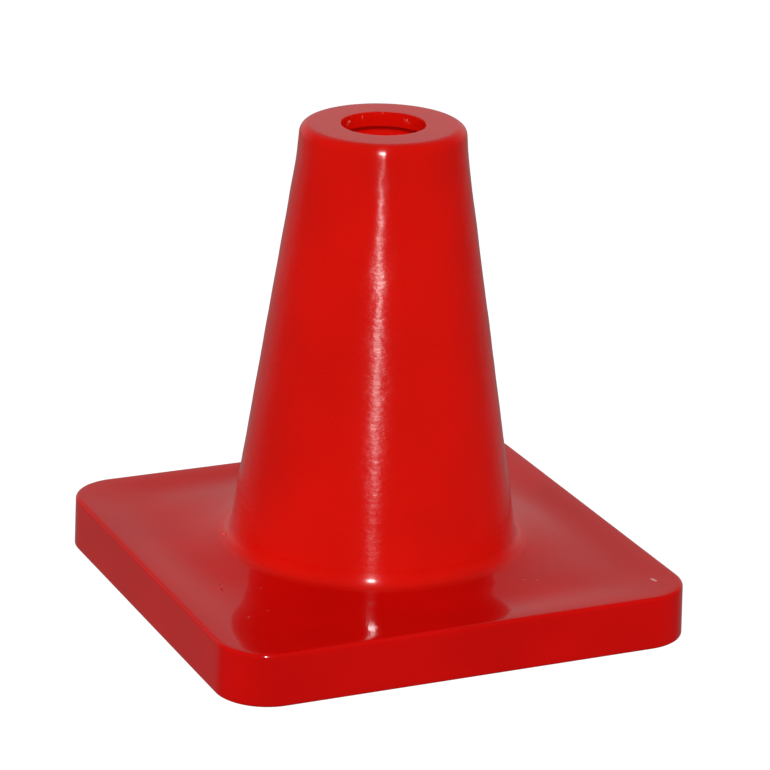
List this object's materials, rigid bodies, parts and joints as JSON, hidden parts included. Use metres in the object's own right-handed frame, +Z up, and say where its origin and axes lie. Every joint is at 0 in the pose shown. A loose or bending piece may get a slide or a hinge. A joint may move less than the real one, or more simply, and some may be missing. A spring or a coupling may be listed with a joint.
{
  "type": "sports marker cone",
  "caption": "Small glossy red marker cone with a holed flat top, on a square weighted base with rounded corners, hollow and open below so that cones stack.",
  "frame": {"origin": "middle of the square footprint, on the floor", "axes": "+Z up along the cone's axis, through the top hole; X and Y square to the base's sides"},
  "size_m": [0.152, 0.152, 0.15],
  "materials": {
    "red_vinyl": "glossy soft vinyl with faint turned rings on the cone",
    "ballast_rubber": "matt recycled rubber"
  },
  "bodies": {
    "root": {"cone_body": "red_vinyl", "base_cover": "red_vinyl", "ballast_plate": "ballast_rubber"}
  },
  "joints": []
}
